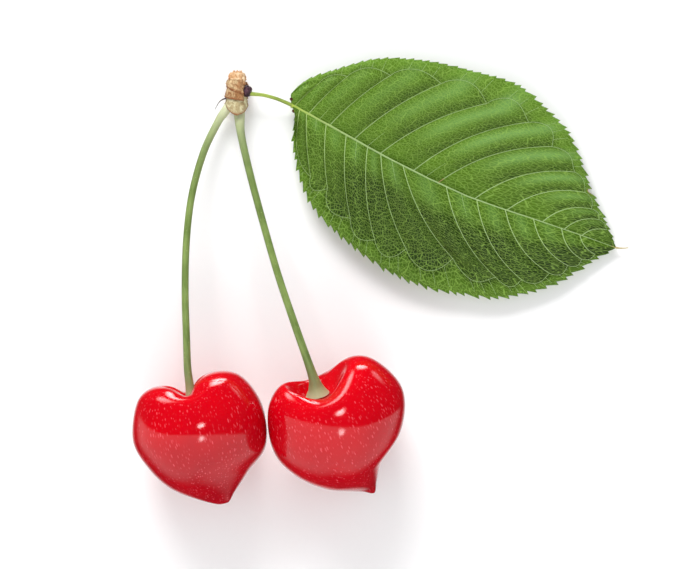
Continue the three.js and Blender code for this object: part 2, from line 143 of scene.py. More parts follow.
def feed(tree, socket, value):
    """Gives a socket a plain value, another socket, or a node for its first output."""
    if isinstance(value, bpy.types.Node):
        value = next(output for output in value.outputs if output.enabled)
    if isinstance(value, bpy.types.NodeSocket):
        tree.links.new(value, socket)
    else:
        socket.default_value = value


def add(tree, kind, *values, **settings):
    """A new node in a tree. Its settings are given by name, and its inputs in order, or by name
    or number in a dict."""
    node = tree.nodes.new(kind)
    for name, value in settings.items():
        setattr(node, name, value)
    shown = [i for i, socket in enumerate(node.inputs) if socket.enabled]
    given = values[0] if values and isinstance(values[0], dict) else dict(zip(shown, values))
    for key, value in given.items():
        feed(tree, node.inputs[key], value)
    return node


def through(points, share):
    """Points on a smooth curve through the given ones; share runs from 0 to 1 by their count."""
    p = np.asarray(points, float)
    p = p[:, None] if p.ndim == 1 else p
    place = np.clip(np.asarray(share, float), 0, 1) * (len(p) - 1)
    i = np.minimum(place.astype(int), len(p) - 2)
    f = (place - i)[..., None]
    a, b, c, d = p[np.maximum(i - 1, 0)], p[i], p[i + 1], p[np.minimum(i + 2, len(p) - 1)]
    v, w = (c - a) / 2, (d - b) / 2
    return (2 * b - 2 * c + v + w) * f ** 3 + (3 * c - 3 * b - 2 * v - w) * f ** 2 + v * f + b


def smooth(low, high, value):
    """0 below low, 1 above high, and an easy change between them."""
    share = np.clip((value - low) / (high - low), 0, 1)
    return share * share * (3 - 2 * share)


def chain(count, first=0):
    """The edges of a line of points."""
    return [(first + i, first + i + 1) for i in range(count - 1)]


def paint(mesh, name, values):
    """Stores a number or a vector for each of a mesh's points."""
    values = np.asarray(values, np.float32)
    vector = values.ndim == 2
    layer = mesh.attributes.new(name, "FLOAT_VECTOR" if vector else "FLOAT", "POINT")
    layer.data.foreach_set("vector" if vector else "value", values.ravel())


def painted(mesh, name):
    """The numbers stored for a mesh's points."""
    values = np.empty(len(mesh.vertices), np.float32)
    mesh.attributes[name].data.foreach_get("value", values)
    return values


def mesh_object(name, points, faces, attributes=None):
    """An object from points in millimetres, with faces or, for pairs, edges."""
    mesh = bpy.data.meshes.new(name)
    pairs = len(faces[0]) == 2
    points = (np.asarray(points, float) * MM).tolist()
    mesh.from_pydata(points, faces if pairs else [], [] if pairs else faces)
    for key, values in (attributes or {}).items():
        paint(mesh, key, values)
    piece = bpy.data.objects.new(name, mesh)
    bpy.context.scene.collection.objects.link(piece)
    return piece


def geometry_tree(name, sizes):
    """An empty geometry tree with a named input for each size, and its two end nodes."""
    tree = bpy.data.node_groups.new(name, "GeometryNodeTree")
    for label, kind in {"Geometry": "Geometry", **sizes}.items():
        tree.interface.new_socket(label, in_out="INPUT", socket_type="NodeSocket" + kind)
    tree.interface.new_socket("Geometry", in_out="OUTPUT", socket_type="NodeSocketGeometry")
    return tree, tree.nodes.new("NodeGroupInput").outputs, tree.nodes.new("NodeGroupOutput")


def close_tree(tree, geometry, material, end):
    """The last nodes of every geometry tree: real mesh, smooth, in its material."""
    real = add(tree, "GeometryNodeRealizeInstances", geometry)
    rounded = add(tree, "GeometryNodeSetShadeSmooth", real)
    dressed = add(tree, "GeometryNodeSetMaterial", {"Geometry": rounded, "Material": material})
    feed(tree, end.inputs[0], dressed)


def grow(piece, tree, sizes, wall=None):
    """Runs a geometry tree on a piece with its sizes, gives it a wall if it is to have one, and
    turns it into a plain mesh."""
    modifier = piece.modifiers.new(tree.name, "NODES")
    modifier.node_group = tree
    names = {item.name: item.identifier for item in tree.interface.items_tree
             if item.item_type == "SOCKET" and item.in_out == "INPUT"}
    for label, value in sizes.items():
        modifier[names[label]] = value
    if wall:
        solid = piece.modifiers.new("wall", "SOLIDIFY")
        solid.thickness, solid.offset = wall * MM, 0.0
    bpy.context.view_layer.update()
    mesh = bpy.data.meshes.new_from_object(
        piece.evaluated_get(bpy.context.evaluated_depsgraph_get()))
    piece.modifiers.clear()
    piece.data = mesh
    mesh.name = piece.name
    return piece


def outward_faces(piece):
    """Turns every face outwards."""
    work = bmesh.new()
    work.from_mesh(piece.data)
    bmesh.ops.recalc_face_normals(work, faces=work.faces)
    work.to_mesh(piece.data)
    work.free()


def coordinates(piece):
    """A piece's points as an array in millimetres."""
    points = np.empty(len(piece.data.vertices) * 3)
    piece.data.vertices.foreach_get("co", points)
    return points.reshape(-1, 3) / MM


def move_points(piece, points, floor=0.0):
    """Moves a piece's points, none of them lower than floor."""
    points[:, 2] = np.maximum(points[:, 2], floor)
    piece.data.vertices.foreach_set("co", (points * MM).ravel())
    piece.data.update()


def carry(points, matrix):
    """Points moved by a matrix."""
    turn = np.array(matrix)
    return np.asarray(points) @ turn[:3, :3].T + turn[:3, 3]


def finished(piece, node):
    """Hands a finished piece to the frame in place of its CAD node."""
    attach(piece, "root")
    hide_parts(node)


# ---------------------------------------------------------------- camera, lights and floor

VIEW_CENTRE = (-5.9, -0.8)
VIEW_WIDTH = 134.4
VIEW_PLANE = 8.0  # height at which the view is exactly that wide
VIEW_DISTANCE = 1500.0
SENSOR = 36.0
FLOOR_HALF = 1500.0
SKY_COLOUR, SKY_STRENGTH = "#f8f9fc", 0.68


def place_camera():
    """Straight down on the bunch from far off, through a long lens."""
    data = bpy.data.cameras.new("camera")
    data.sensor_width = SENSOR
    data.lens = SENSOR * (VIEW_DISTANCE - VIEW_PLANE) / VIEW_WIDTH
    data.clip_start, data.clip_end = 0.1, 10.0
    camera = bpy.data.objects.new("camera", data)
    camera.location = Vector((*VIEW_CENTRE, VIEW_DISTANCE)) * MM
    bpy.context.scene.collection.objects.link(camera)
    bpy.context.scene.camera = camera


def lamp(name, place, size, power):
    """A rectangular soft lamp that faces the middle of the bunch."""
    data = bpy.data.lights.new(name, "AREA")
    data.shape, data.size, data.size_y = "RECTANGLE", size[0] * MM, size[1] * MM
    data.energy = power
    soft = bpy.data.objects.new(name, data)
    soft.location = Vector(place) * MM
    aim = Vector((*VIEW_CENTRE, VIEW_PLANE)) - Vector(place)
    soft.rotation_euler = aim.to_track_quat("-Z", "Y").to_euler()
    soft.visible_camera = soft.visible_glossy = False
    bpy.context.scene.collection.objects.link(soft)


# What a glossy surface sees round it, by direction: a broad white card on the fruit's side of the
# bunch, a paler zone below, and small bright lamps as (direction, half widths, brightness, blur).
CARD_EDGE = (0.10, 1.0, 0.12)
CARD_BRIGHTNESS = 1.3
SURROUND = 0.04
BELOW_START, BELOW_FULL, BELOW_BRIGHTNESS = -0.8, -0.97, 0.85
LAMP_SPOTS = [((0.04, 0.97, -0.24), (0.34, 0.4, 0.28), 15.0, 0.55),
              ((-0.52, 0.84, 0.05), (0.24, 0.35, 0.3), 8.0, 0.7),
              ((0.66, 0.74, -0.1), (0.22, 0.3, 0.16), 3.0, 0.7),
              ((0.0, 0.26, 0.965), (0.13, 0.13, 0.16), 22.0, 0.8),
              ((0.07, -0.25, 0.965), (0.1, 0.13, 0.16), 15.0, 0.8)]


def light_studio():
    """A pale sky with soft lamps from the spur's side and the fruit's side, and the cards and
    small lamps that a glossy surface mirrors."""
    world = bpy.data.worlds.new("studio")
    world.use_nodes = True
    world.cycles.sampling_method = "NONE"
    bpy.context.scene.world = world
    tree = world.node_tree
    sky = tree.nodes["Background"]
    sky.inputs["Color"].default_value = linear(SKY_COLOUR)
    sky.inputs["Strength"].default_value = SKY_STRENGTH
    way = add(tree, PLACE).outputs["Generated"]
    parts = add(tree, SPLIT, way).outputs
    over = add(tree, VECTOR_MATH, way, CARD_EDGE, operation="DOT_PRODUCT")
    card = add(tree, RANGE, over, -0.03, 0.03, CARD_BRIGHTNESS, 0.0,
               interpolation_type="SMOOTHSTEP")
    aside = add(tree, MATH, parts[0], operation="ABSOLUTE")
    low = add(tree, MATH, aside, 0.6, parts[2], operation="MULTIPLY_ADD")
    high = add(tree, RANGE, low, -0.3, 0.3, interpolation_type="SMOOTHSTEP")
    total = add(tree, MATH, card, high, SURROUND, operation="MULTIPLY_ADD")
    below = add(tree, RANGE, parts[2], BELOW_START, BELOW_FULL, 0.0, BELOW_BRIGHTNESS,
                interpolation_type="SMOOTHSTEP")
    total = add(tree, MATH, total, below, operation="ADD")
    for direction, half, brightness, blur in LAMP_SPOTS:
        away = add(tree, VECTOR_MATH, way, direction, operation="SUBTRACT")
        away = add(tree, VECTOR_MATH, away, half, operation="DIVIDE")
        away = add(tree, VECTOR_MATH, away, operation="LENGTH")
        spot = add(tree, RANGE, away, 1 - blur, 1.0, brightness, 0.0,
                   interpolation_type="SMOOTHSTEP")
        total = add(tree, MATH, total, spot, operation="ADD")
    mirrored = add(tree, "ShaderNodeBackground", linear("#ffffff"), total)
    glossy = add(tree, "ShaderNodeLightPath").outputs["Is Glossy Ray"]
    both = add(tree, "ShaderNodeMixShader", glossy, sky, mirrored)
    feed(tree, tree.nodes["World Output"].inputs["Surface"], both)
    lamp("key", (-180, 690, 463), (480, 340), 7.2)
    lamp("fill", (0, -600, 330), (700, 300), 3.0)
    bpy.context.scene.view_settings.view_transform = "Standard"
    bpy.context.scene.view_settings.look = "None"


def finish(name, values):
    """A material with one shader, and its plain values set on the shader's own sockets."""
    material = bpy.data.materials.new(name)
    material.use_nodes = True
    shader = material.node_tree.nodes["Principled BSDF"]
    for key, value in values.items():
        shader.inputs[key].default_value = value
    return material, material.node_tree, shader.inputs


def lay_floor():
    """A plain pale table top of matt laminate."""
    half = FLOOR_HALF
    floor = mesh_object("floor", [(-half, -half, 0), (half, -half, 0), (half, half, 0),
                                  (-half, half, 0)], [(0, 1, 2, 3)])
    material, _, _ = finish("white_laminate", {"Base Color": linear("#f6f6f5"),
                                               "Roughness": 0.6})
    floor.data.materials.append(material)
    floor.visible_glossy = False


place_camera()
light_studio()
lay_floor()


# ---------------------------------------------------------------- materials

def cherry_skin_material():
    """Ripe cherry skin: a smooth waxy cuticle, so sharp reflections, over red flesh that lets a
    little light through, with short pale flecks that run from the stalk towards the tip."""
    material, tree, shader = finish("ripe_cherry_skin", {
        "IOR": 1.45, "Subsurface Weight": 0.25, "Subsurface Scale": 1.5 * MM,
        "Subsurface Radius": (1.0, 0.12, 0.08)})
    grain = add(tree, PAINTED, attribute_name="grain").outputs["Vector"]
    down = add(tree, PAINTED, attribute_name="down").outputs["Fac"]
    place = add(tree, PLACE).outputs["Object"]
    # clouds of darker red about 8 mm across, and painted shade that makes the nose darker than the
    # shoulders
    cloud = add(tree, NOISE, {"Vector": place, "Scale": 120.0, "Detail": 2.0})
    darker = add(tree, MATH, cloud, 0.35, down, operation="MULTIPLY_ADD")
    depth = add(tree, RANGE, darker, 0.3, 1.05)
    # the darker red towards the nose is painted shade
    red = add(tree, MIX, depth, linear("#da0012"), linear("#980212"), data_type="RGBA")
    # flecks about 0.2 mm wide and three times as long, well under 1 mm apart
    cells = add(tree, CELLS, {"Vector": grain, "Scale": 1 / (0.44 * MM)})
    share = add(tree, "ShaderNodeSeparateColor", cells.outputs["Color"])
    size = add(tree, RANGE, share, 0.0, 1.0, 0.14, 0.38)
    near = add(tree, MATH, size, cells.outputs["Distance"], operation="SUBTRACT")
    fleck = add(tree, RANGE, near, -0.06, 0.08)
    paleness = add(tree, RANGE, share.outputs[1], 0.0, 1.0, 0.03, 0.42)
    amount = add(tree, MATH, fleck, paleness, operation="MULTIPLY")
    skin = add(tree, MIX, amount, red, linear("#f06470"), data_type="RGBA")
    feed(tree, shader["Base Color"], skin)
    wax = add(tree, NOISE, {"Vector": grain, "Scale": 900.0, "Detail": 3.0})
    feed(tree, shader["Roughness"], add(tree, RANGE, wax, 0.0, 1.0, 0.06, 0.15))
    relief = add(tree, MATH, amount, wax, operation="ADD")
    feed(tree, shader["Normal"], add(tree, BUMP, {"Height": relief, "Strength": 0.25,
                                                  "Distance": 0.02 * MM}))
    return material


def stem_material(name, colours, fleck, roughness=0.42):
    """A fresh green stem: a thin smooth rind with fine ribs along it, slightly see-through.
    colours: the body, the shaded grooves, and the paler ends."""
    material, tree, shader = finish(name, {
        "IOR": 1.42, "Subsurface Weight": 0.2, "Subsurface Scale": 0.6 * MM,
        "Subsurface Radius": (0.6, 1.0, 0.3), "Roughness": roughness})
    along = add(tree, PAINTED, attribute_name="along").outputs["Vector"]
    end = add(tree, PAINTED, attribute_name="ends").outputs["Fac"]
    place = add(tree, PLACE).outputs["Object"]
    streak = add(tree, NOISE, {"Vector": along, "Scale": 1 / (0.5 * MM), "Detail": 4.0,
                               "Roughness": 0.6})
    cloud = add(tree, NOISE, {"Vector": place, "Scale": 1 / (4 * MM), "Detail": 3.0})
    both = add(tree, MATH, streak, cloud, operation="ADD")
    shade = add(tree, RANGE, both, 0.75, 1.25)
    body = add(tree, MIX, shade, linear(colours[1]), linear(colours[0]), data_type="RGBA")
    ends = add(tree, MIX, end, body, linear(colours[2]), data_type="RGBA")
    # pores, pale specks 0.15 mm across
    pores = add(tree, CELLS, {"Vector": place, "Scale": 1 / (0.9 * MM)})
    dots = add(tree, RANGE, pores.outputs["Distance"], 0.05, 0.16, 0.5, 0.0)
    rind = add(tree, MIX, dots, ends, linear(fleck), data_type="RGBA")
    feed(tree, shader["Base Color"], rind)
    feed(tree, shader["Normal"], add(tree, BUMP, {"Height": streak, "Strength": 0.5,
                                                  "Distance": 0.05 * MM}))
    return material


def husk_material(name, colours, grain_mm, bump_mm, roughness):
    """Dry plant tissue: dull, fibrous and stained, darker in its creases.
    colours: light, mid, dark, and the stain at the free edge."""
    material, tree, shader = finish(name, {"IOR": 1.4, "Roughness": roughness})
    place = add(tree, PLACE).outputs["Object"]
    edge = add(tree, PAINTED, attribute_name="edge").outputs["Fac"]
    fibre = add(tree, NOISE, {"Vector": place, "Scale": 1 / (grain_mm * MM), "Detail": 6.0,
                              "Roughness": 0.65, "Distortion": 0.6})
    patch = add(tree, NOISE, {"Vector": place, "Scale": 1 / (1.4 * MM), "Detail": 2.0})
    paler = add(tree, RANGE, patch, 0.4, 0.62)
    body = add(tree, MIX, paler, linear(colours[1]), linear(colours[0]), data_type="RGBA")
    crest = add(tree, RANGE, fibre, 0.35, 0.65)
    creased = add(tree, MIX, crest, linear(colours[2]), body, data_type="RGBA")
    stain = add(tree, MATH, edge, patch, operation="MULTIPLY")
    stain = add(tree, RANGE, stain, 0.15, 0.5, 0.0, 0.85)
    husk = add(tree, MIX, stain, creased, linear(colours[3]), data_type="RGBA")
    feed(tree, shader["Base Color"], husk)
    feed(tree, shader["Normal"], add(tree, BUMP, {"Height": fibre, "Strength": 0.8,
                                                  "Distance": bump_mm * MM}))
    return material


def leaf_material():
    """A cherry leaf: a waxy upper side with a soft sheen, pale veins, and a fine net of veinlets
    that ladder across from one side vein to the next. Its green also carries painted light and
    shade, a painted sheen on the crests and a margin painted paler as lit."""
    material, tree, shader = finish("waxy_cherry_leaf", {
        "IOR": 1.34, "Specular IOR Level": 0.35, "Subsurface Weight": 0.08,
        "Subsurface Scale": 0.8 * MM, "Subsurface Radius": (0.5, 1.0, 0.2)})
    place = add(tree, PLACE).outputs["Object"]
    weave = add(tree, PAINTED, attribute_name="weave").outputs["Vector"]
    vein, rim, base, under, light, bloom, bruise = (
        add(tree, PAINTED, attribute_name=name).outputs["Fac"]
        for name in ("vein", "rim", "base", "under", "light", "bloom", "bruise"))
    # the ladder of veinlets, 1 mm apart along a side vein, then a net of 0.62 mm cells
    stretched = add(tree, "ShaderNodeMapping", {"Vector": weave, "Scale": (0.3, 1.0, 1.0)})
    ladder = add(tree, CELLS, {"Vector": stretched, "Scale": 1 / (1.0 * MM), "Randomness": 0.85},
                 feature="DISTANCE_TO_EDGE", voronoi_dimensions="2D")
    net = add(tree, CELLS, {"Vector": weave, "Scale": 1 / (0.62 * MM)},
              feature="DISTANCE_TO_EDGE", voronoi_dimensions="2D")
    rungs = add(tree, RANGE, ladder.outputs["Distance"], 0.005, 0.05, 0.75, 0.0)
    mesh = add(tree, RANGE, net.outputs["Distance"], 0.0, 0.13, 0.6, 0.0)
    lines = add(tree, MATH, rungs, mesh, operation="MAXIMUM")
    tone = add(tree, NOISE, {"Vector": place, "Scale": 1 / (9 * MM), "Detail": 4.0})
    speck = add(tree, NOISE, {"Vector": place, "Scale": 1 / (0.45 * MM), "Detail": 2.0})
    mixed = add(tree, MATH, tone, speck, operation="ADD")
    share = add(tree, RANGE, mixed, 0.75, 1.25, -0.16, 0.16)
    # painted light and shade from the leaf's light attribute
    share = add(tree, MATH, share, light, operation="ADD", use_clamp=True)
    shade = add(tree, MIX, share, linear("#152701"), linear("#527418"), data_type="RGBA")
    # then over it the painted sheen on the crests, the margin painted paler as lit, the net, the
    # veins, the pale underside and bruises
    pale = add(tree, MIX, base, linear("#a2bd80"), linear("#a6ba48"), data_type="RGBA")
    for amount, colour in ((bloom, linear("#7aa75e")), (rim, linear("#5a7e20")),
                           (lines, linear("#86a84c")), (vein, pale),
                           (under, linear("#8fae74")), (bruise, linear("#b08a5a"))):
        shade = add(tree, MIX, amount, shade, colour, data_type="RGBA")
    feed(tree, shader["Base Color"], shade)
    feed(tree, shader["Roughness"], add(tree, RANGE, speck, 0.0, 1.0, 0.36, 0.5))
    height = add(tree, MATH, lines, -1.0, operation="MULTIPLY")
    feed(tree, shader["Normal"], add(tree, BUMP, {"Height": height, "Strength": 0.7,
                                                  "Distance": 0.06 * MM}))
    return material


# colours, then size of the fibres and depth of the creases in millimetres, and roughness
SKIN = cherry_skin_material()
STALK_RIND = stem_material("green_fruit_stalk", ("#7f9350", "#5d7236", "#dedebc"), "#aab87a")
LEAF_STALK_RIND = stem_material("leaf_stalk_rind", ("#9dae50", "#6a7f2e", "#c6d468"), "#b8c27c")
WOOD = husk_material("torn_spur_wood", ("#f0d8b0", "#d6a878", "#8a5e36", "#dc9a62"),
                     0.35, 0.12, 0.85)
HUSK = husk_material("papery_bud_scale", ("#dcc498", "#b2855c", "#80562f", "#7c3f1c"),
                     0.6, 0.2, 0.7)
FRESH_HUSK = husk_material("green_bud_scale", ("#dcd8b0", "#bcae84", "#94805a", "#80481f"),
                           0.7, 0.16, 0.65)
TORN_HUSK = husk_material("torn_bud_scale", ("#f6e2bc", "#e2b688", "#b07e50", "#b8622e"),
                          0.6, 0.2, 0.7)
BUD = husk_material("dark_bud_scale", ("#62424e", "#3e2630", "#1c1016", "#74505a"),
                    0.4, 0.08, 0.5)
LEAF = leaf_material()
GLAND = husk_material("nectar_gland", ("#6b241f", "#551a18", "#30100f", "#7a3028"),
                      0.3, 0.03, 0.25)


# ---------------------------------------------------------------- cherries

SKIN_SIDES = 160
SKIN_STEPS = 128
WELD_GAP = 0.0005


def cherry_tree():
    """Geometry nodes: rings of skin round the fruit's axis. The input is a line of points down
    the axis that carry the outlines: reach is centre, half width and depth, fall is how far down
    the right, left and front outlines are, and round is how evenly the ring turns into them."""
    tree, start, end = geometry_tree("cherry_rings", {"Sides": "Int", "Steps": "Int",
                                                      "Material": "Material"})
    points = add(tree, MATH, start["Steps"], 1, operation="ADD")
    columns = add(tree, MATH, start["Sides"], 1, operation="ADD")
    rings = add(tree, "GeometryNodeMeshGrid", {"Vertices X": columns, "Vertices Y": points})
    index = add(tree, "GeometryNodeInputIndex")
    side = add(tree, MATH, index, 0.5, operation="ADD")
    side = add(tree, MATH, side, points, operation="DIVIDE")
    side = add(tree, MATH, side, operation="FLOOR")
    passed = add(tree, MATH, side, points, operation="MULTIPLY")
    step = add(tree, MATH, index, passed, operation="SUBTRACT")
    turn = add(tree, MATH, side, 2 * math.pi, operation="MULTIPLY")
    turn = add(tree, MATH, turn, start["Sides"], operation="DIVIDE")
    line = {}
    for name, kind in (("reach", "FLOAT_VECTOR"), ("fall", "FLOAT_VECTOR"), ("round", "FLOAT")):
        carried = add(tree, CARRIED, name, data_type=kind)
        line[name] = add(tree, "GeometryNodeSampleIndex", {
            "Geometry": start["Geometry"], "Value": carried, "Index": step}, data_type=kind)
    reach = add(tree, SPLIT, line["reach"]).outputs
    fall = add(tree, SPLIT, line["fall"]).outputs
    cosine = add(tree, MATH, turn, operation="COSINE")
    sine = add(tree, MATH, turn, operation="SINE")
    # across is 1 at the right and left outlines and 0 at the front one
    across = add(tree, MATH, cosine, cosine, operation="MULTIPLY")
    rest = add(tree, MATH, 1, across, operation="SUBTRACT")
    rest = add(tree, MATH, line["round"], rest, operation="MULTIPLY")
    whole = add(tree, MATH, across, rest, operation="ADD")
    cheek = add(tree, MATH, across, whole, operation="DIVIDE")
    bias = add(tree, MATH, cosine, 0.5, 0.5, operation="MULTIPLY_ADD")
    cheek_fall = add(tree, MIX, bias, fall[1], fall[0])
    drop = add(tree, MIX, cheek, fall[2], cheek_fall)
    place = add(tree, COMBINE,
                add(tree, MATH, reach[1], cosine, reach[0], operation="MULTIPLY_ADD"),
                add(tree, MATH, drop, -1, operation="MULTIPLY"),
                add(tree, MATH, reach[2], sine, operation="MULTIPLY"))
    shaped = add(tree, MOVE, {"Geometry": rings, "Position": place})
    down = add(tree, MATH, step, start["Steps"], operation="DIVIDE")
    marked = add(tree, STORE, {"Geometry": shaped, "Name": "down", "Value": down},
                 data_type="FLOAT")
    closed = add(tree, WELD, {"Geometry": marked, "Distance": WELD_GAP * MM})
    close_tree(tree, closed, start["Material"], end)
    return tree


def mirrored_outline(stations, share):
    """A smooth outline that meets the axis squarely at both ends."""
    middle = stations[-1][0]
    first = (-stations[1][0], stations[1][1])
    last = (2 * middle - stations[-2][0], stations[-2][1])
    points = [first, *stations, last]
    return through(points, (1 + share * (len(stations) - 1)) / (len(points) - 1))


def make_cherry(name, spec, tree):
    share = np.linspace(0, 1, SKIN_STEPS + 1)
    right, left, front = (mirrored_outline(spec[key], share)
                          for key in ("right", "left", "front"))
    body = np.clip((share - 0.3) / 0.25, 0, 1)
    line = mesh_object(name, np.zeros((len(share), 3)), chain(len(share)), {
        "reach": np.stack([(right[:, 0] - left[:, 0]) / 2, (right[:, 0] + left[:, 0]) / 2,
                           front[:, 0]], 1) * MM,
        "fall": np.stack([right[:, 1], left[:, 1], front[:, 1]], 1) * MM,
        "round": spec["cleft"] + (1 - spec["cleft"]) * body})
    piece = grow(line, tree, {"Sides": SKIN_SIDES, "Steps": SKIN_STEPS, "Material": SKIN})
    outward_faces(piece)
    points = coordinates(piece)
    # flecks follow the skin down from the stalk, so the grain is squeezed along the fruit
    paint(piece.data, "grain",
          np.stack([points[:, 0], points[:, 2], -points[:, 1] * 0.32], 1) * MM)
    turned = Euler((math.radians(spec["tip_down"]), 0, math.radians(spec["lean"])), "XYZ")
    points = carry(points, turned.to_matrix().to_4x4())
    points += (*spec["notch"], -points[:, 2].min() - TABLE_FLAT)
    move_points(piece, points)
    finished(piece, name)


CHERRY_TREE = cherry_tree()
for cherry_name, cherry_spec in CHERRIES.items():
    make_cherry(cherry_name, cherry_spec, CHERRY_TREE)


# ---------------------------------------------------------------- stems

GRAIN_RADIUS = 0.8  # the grain's own radius, so that it looks alike on thick and thin stems
GRAIN_SQUEEZE = 0.12  # along the stem


def stem_tree():
    """Geometry nodes: a ribbed stem swept along a line of points that carry their radius."""
    tree, start, end = geometry_tree("ribbed_stem", {
        "Sides": "Int", "Ribs": "Float", "Rib share": "Float", "Bumps": "Float",
        "Material": "Material"})
    route = add(tree, "GeometryNodeMeshToCurve", start["Geometry"])
    ring = add(tree, "GeometryNodeCurvePrimitiveCircle", {"Resolution": start["Sides"],
                                                          "Radius": 1.0})
    share = add(tree, "GeometryNodeSplineParameter").outputs["Factor"]
    ring = add(tree, STORE, {"Geometry": ring, "Name": "around", "Value": share},
               data_type="FLOAT")
    radius = add(tree, CARRIED, "radius", data_type="FLOAT")
    around = add(tree, CARRIED, "around", data_type="FLOAT")
    stem = add(tree, "GeometryNodeCurveToMesh", {"Curve": route, "Profile Curve": ring,
                                                 "Scale": radius, "Fill Caps": True})
    wave = add(tree, MATH, around, start["Ribs"], operation="MULTIPLY")
    wave = add(tree, MATH, wave, 2 * math.pi, operation="MULTIPLY")
    wave = add(tree, MATH, wave, operation="COSINE")
    lump = add(tree, NOISE, {"Scale": 1 / (2.5 * MM), "Detail": 2.0})
    uneven = add(tree, MATH, lump, 0.5, operation="SUBTRACT")
    uneven = add(tree, MATH, uneven, start["Bumps"], operation="MULTIPLY")
    rise = add(tree, MATH, wave, start["Rib share"], uneven, operation="MULTIPLY_ADD")
    rise = add(tree, MATH, rise, radius, operation="MULTIPLY")
    offset = add(tree, VECTOR_MATH, add(tree, "GeometryNodeInputNormal"), rise,
                 operation="SCALE")
    ribbed = add(tree, MOVE, {"Geometry": stem, "Offset": offset})
    close_tree(tree, ribbed, start["Material"], end)
    return tree


STEM_TREE = stem_tree()


def pale_ends(length):
    """How pale a stalk is along its length: more near the spur, and a little at the fruit."""
    return 0.95 * np.exp(-length / 4.0) + 0.55 * np.exp(-(length[-1] - length) / 2.4)


def make_stem(name, route, count, material, sides=24, ribs=7.0, rib_share=0.05, bumps=0.12,
              ends=np.zeros_like):
    path = through(route, np.linspace(0, 1, count))
    step = np.linalg.norm(np.diff(path[:, :3], axis=0), axis=1)
    length = np.concatenate([[0], np.cumsum(step)])
    line = mesh_object(name, path[:, :3], chain(count), {
        "radius": path[:, 3] * MM, "length": length * MM, "ends": ends(length)})
    piece = grow(line, STEM_TREE, {"Sides": sides, "Ribs": ribs, "Rib share": rib_share,
                                   "Bumps": bumps, "Material": material})
    outward_faces(piece)
    turns = painted(piece.data, "around") * 2 * np.pi
    paint(piece.data, "along", np.stack([
        GRAIN_RADIUS * MM * np.cos(turns), GRAIN_RADIUS * MM * np.sin(turns),
        painted(piece.data, "length") * GRAIN_SQUEEZE], 1))
    finished(piece, name)


make_stem("stalk_left", STALK_LEFT, 260, STALK_RIND, ends=pale_ends)
make_stem("stalk_right", STALK_RIGHT, 280, STALK_RIND, sides=72, ribs=17.0,
          rib_share=0.035, bumps=0.1, ends=pale_ends)
make_stem("leaf_stalk", LEAF_STALK, 60, LEAF_STALK_RIND, ribs=2.0, rib_share=0.08,
          bumps=0.15)
make_stem("bract_thread", BRACT_THREAD, 24, BUD, sides=10, ribs=3.0, rib_share=0.15,
          bumps=0.5)


# ---------------------------------------------------------------- spur

SCALE_COLUMNS, SCALE_ROWS = 48, 24
CRINKLE = 0.8
TABLE_GAP = 0.02  # thin pieces stay this far over the table


def scale_tree():
    """Geometry nodes: one bud scale, a slice of a flaring cup with its free edge drawn out."""
    labels = ("Facing", "Reach", "Radius", "Root", "Tip", "Notch", "Slant", "Flare", "Crinkle",
              "Seed")
    tree, start, end = geometry_tree("bud_scale", {**dict.fromkeys(labels, "Float"),
                                                   "Material": "Material"})
    grid = add(tree, "GeometryNodeMeshGrid", {"Vertices X": SCALE_COLUMNS + 1,
                                              "Vertices Y": SCALE_ROWS + 1})
    index = add(tree, "GeometryNodeInputIndex")
    column = add(tree, MATH, index, 0.5, operation="ADD")
    column = add(tree, MATH, column, SCALE_ROWS + 1, operation="DIVIDE")
    column = add(tree, MATH, column, operation="FLOOR")
    passed = add(tree, MATH, column, SCALE_ROWS + 1, operation="MULTIPLY")
    row = add(tree, MATH, index, passed, operation="SUBTRACT")
    row = add(tree, MATH, row, SCALE_ROWS, operation="DIVIDE")
    # side runs from -1 to 1 round the scale, row from 0 at its root to 1 at its free edge
    side = add(tree, MATH, column, SCALE_COLUMNS / 2, operation="DIVIDE")
    side = add(tree, MATH, side, 1, operation="SUBTRACT")
    angle = add(tree, MATH, start["Reach"], side, start["Facing"], operation="MULTIPLY_ADD")
    angle = add(tree, MATH, angle, operation="RADIANS")
    spot = add(tree, COMBINE, add(tree, MATH, side, 2.2, operation="MULTIPLY"), row)
    ragged = add(tree, NOISE, {"Vector": spot, "W": start["Seed"], "Scale": 3.0, "Detail": 4.0},
                 noise_dimensions="4D")
    ragged = add(tree, MATH, ragged, 0.5, operation="SUBTRACT")
    ragged = add(tree, MATH, ragged, start["Crinkle"], operation="MULTIPLY")
    drawn = add(tree, MATH, side, operation="ABSOLUTE")
    drawn = add(tree, MATH, drawn, 1.5, operation="POWER")
    free = add(tree, MATH, start["Notch"], drawn, start["Tip"], operation="MULTIPLY_ADD")
    free = add(tree, MATH, ragged, 0.9, free, operation="MULTIPLY_ADD")
    slope = add(tree, MATH, start["Slant"], side, operation="MULTIPLY")
    free = add(tree, MATH, free, slope, operation="SUBTRACT")
    out = add(tree, MATH, start["Flare"], row, start["Radius"], operation="MULTIPLY_ADD")
    out = add(tree, MATH, ragged, row, out, operation="MULTIPLY_ADD")
    sine = add(tree, MATH, angle, operation="SINE")
    cosine = add(tree, MATH, angle, operation="COSINE")
    whole = add(tree, MATH, free, start["Root"], operation="SUBTRACT")
    place = add(tree, COMBINE,
                add(tree, MATH, out, sine, operation="MULTIPLY"),
                add(tree, MATH, whole, row, start["Root"], operation="MULTIPLY_ADD"),
                add(tree, MATH, out, cosine, operation="MULTIPLY"))
    place = add(tree, VECTOR_MATH, place, MM, operation="SCALE")
    shaped = add(tree, MOVE, {"Geometry": grid, "Position": place})
    edge = add(tree, MATH, row, 5.0, operation="POWER")
    stained = add(tree, STORE, {"Geometry": shaped, "Name": "edge", "Value": edge},
                  data_type="FLOAT")
    close_tree(tree, stained, start["Material"], end)
    return tree


SCALE_TREE = scale_tree()
ODD_SCALES = {"bud_scale_1": FRESH_HUSK, "bud_scale_7": TORN_HUSK, "bud_scale_8": TORN_HUSK}


